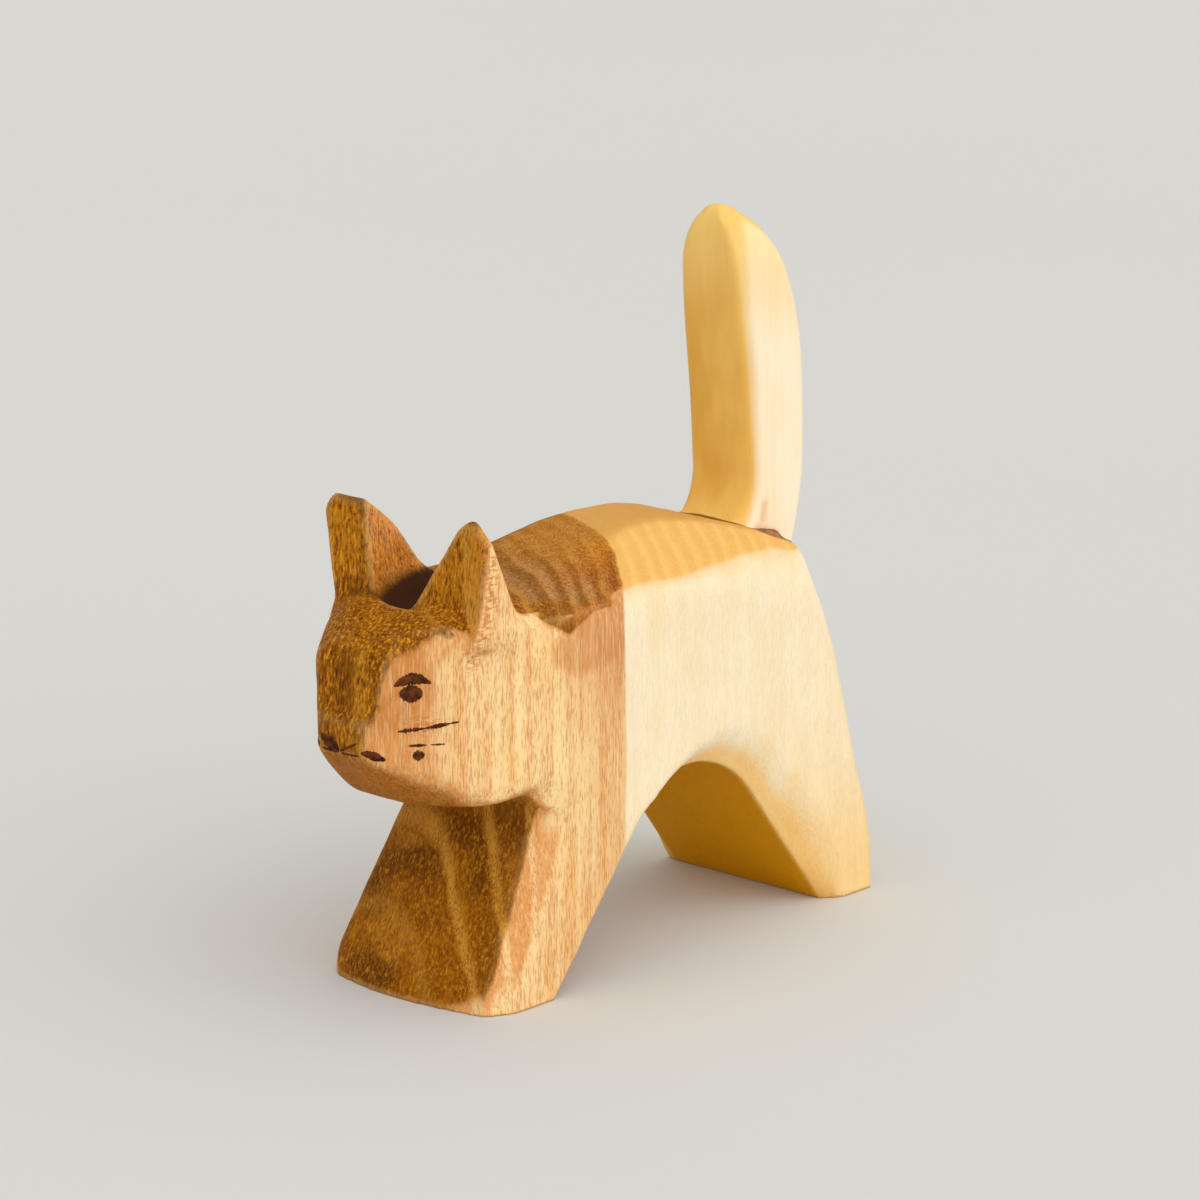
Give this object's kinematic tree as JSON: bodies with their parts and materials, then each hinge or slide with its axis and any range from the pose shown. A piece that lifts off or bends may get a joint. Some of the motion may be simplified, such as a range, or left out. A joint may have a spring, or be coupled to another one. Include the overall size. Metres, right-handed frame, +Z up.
{
  "type": "wooden cat figure",
  "caption": "Free-standing carved wooden cat figure with knife-cut facets, an arched belly, pointed ears, a drawn face and an upright tail glued on over a hidden dowel.",
  "frame": {"origin": "on the floor, under the middle of the bounding box", "axes": "+Z up, the nose points along -Y and the cat's left side is +X"},
  "size_m": [0.024, 0.0696, 0.0756],
  "materials": {
    "body_wood": "oiled, satin; brown heartwood at the head and chest, cream sapwood at the flank and rump",
    "tail_wood": "oiled, satin pale sapwood",
    "dowel_wood": "plain, hidden",
    "glue": "dried wood glue",
    "drawn_mark": "dark red-brown lines drawn on the wood"
  },
  "bodies": {
    "root": {"body": "body_wood", "tail": "tail_wood", "tail_dowel": "dowel_wood", "tail_glue": "glue", "left_pupil": "drawn_mark", "right_pupil": "drawn_mark", "left_eyelid": "drawn_mark", "right_eyelid": "drawn_mark", "nose_mark": "drawn_mark", "mouth_mark": "drawn_mark", "left_whiskers": "drawn_mark", "right_whiskers": "drawn_mark"}
  },
  "joints": []
}
